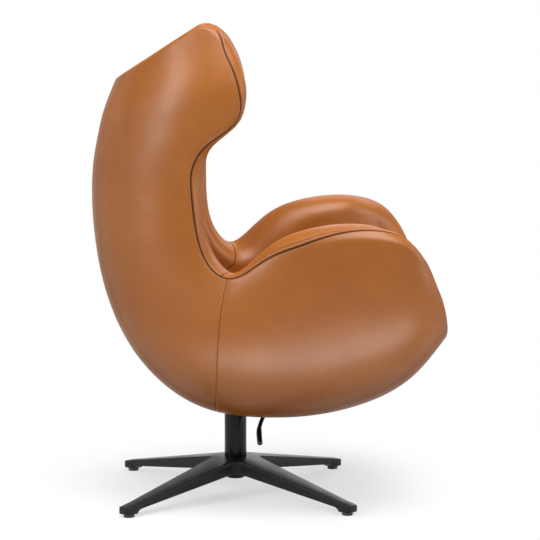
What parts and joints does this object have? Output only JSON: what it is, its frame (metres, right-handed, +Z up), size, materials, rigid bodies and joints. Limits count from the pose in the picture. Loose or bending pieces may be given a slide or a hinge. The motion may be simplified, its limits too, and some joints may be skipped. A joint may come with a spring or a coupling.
{
  "type": "swivel rocker",
  "caption": "High-backed winged shell lounge chair in tan leather with a loose seat cushion, turning and rocking on a black star base with a lock lever.",
  "frame": {"origin": "on the floor, under the middle of the bounding box", "axes": "+Z up; the chair faces -Y and +X is at the sitter's left hand. The swivel axis is vertical at y = 0.077 m."},
  "size_m": [0.8082, 0.7867, 1.061],
  "materials": {
    "leather": "semi-matt tan hide",
    "black_paint": "satin powder coat",
    "gloss_black": "gloss enamel",
    "steel": "plain",
    "black_plastic": "fine texture",
    "white_plastic": "plain",
    "rubber": "plain",
    "moulded_shell": "moulded",
    "padding": "leather over foam",
    "plywood": "sanded"
  },
  "bodies": {
    "base": {"base_star": "black_paint", "foot_glide_1": "black_plastic", "foot_glide_2": "black_plastic", "foot_glide_3": "black_plastic", "foot_glide_4": "black_plastic", "column_tube": "gloss_black", "column_cap": "black_plastic", "lower_bush": "white_plastic", "upper_bush": "white_plastic", "thrust_washer": "steel"},
    "swivel": {"spindle": "steel", "spindle_clip": "steel", "mechanism_pan": "black_paint", "spindle_nut": "steel", "pivot_bush_left": "white_plastic", "pivot_bush_right": "white_plastic", "torsion_sleeve_left": "rubber", "torsion_sleeve_right": "rubber", "rear_stop": "rubber", "front_stop": "rubber", "lever_bracket": "steel", "lever_pin": "steel"},
    "lever": {"lever_rod": "black_paint", "lever_grip": "black_plastic"},
    "seat": {"pivot_shaft": "steel", "pivot_nut_left": "steel", "pivot_nut_right": "steel", "seat_plate": "black_paint", "lock_sector": "steel", "seat_bolt_1": "steel", "seat_bolt_2": "steel", "seat_bolt_3": "steel", "seat_bolt_4": "steel", "mounting_block": "plywood", "bottom_collar": "black_plastic", "shell_core": "moulded_shell", "outer_cover_rear": "leather", "outer_cover_front": "leather", "inner_back_pad": "padding", "inner_seat_pad": "padding", "seat_cushion": "padding"}
  },
  "joints": [
    {"name": "swivel", "type": "hinge", "parent": "base", "child": "swivel", "pos_m": [0, 0.077, 0.19], "axis": [0, 0, 1], "continuous": true},
    {"name": "rock", "type": "hinge", "parent": "swivel", "child": "seat", "pos_m": [0, 0.025, 0.238], "axis": [-1, 0, 0], "range_deg": [0, 12], "stiffness_Nm_per_rad": 200, "springref_deg": -6.88},
    {"name": "lock_lever", "type": "hinge", "parent": "swivel", "child": "lever", "pos_m": [-0.034, 0.011, 0.188], "axis": [0, 1, 0], "range_deg": [0, 8]}
  ]
}
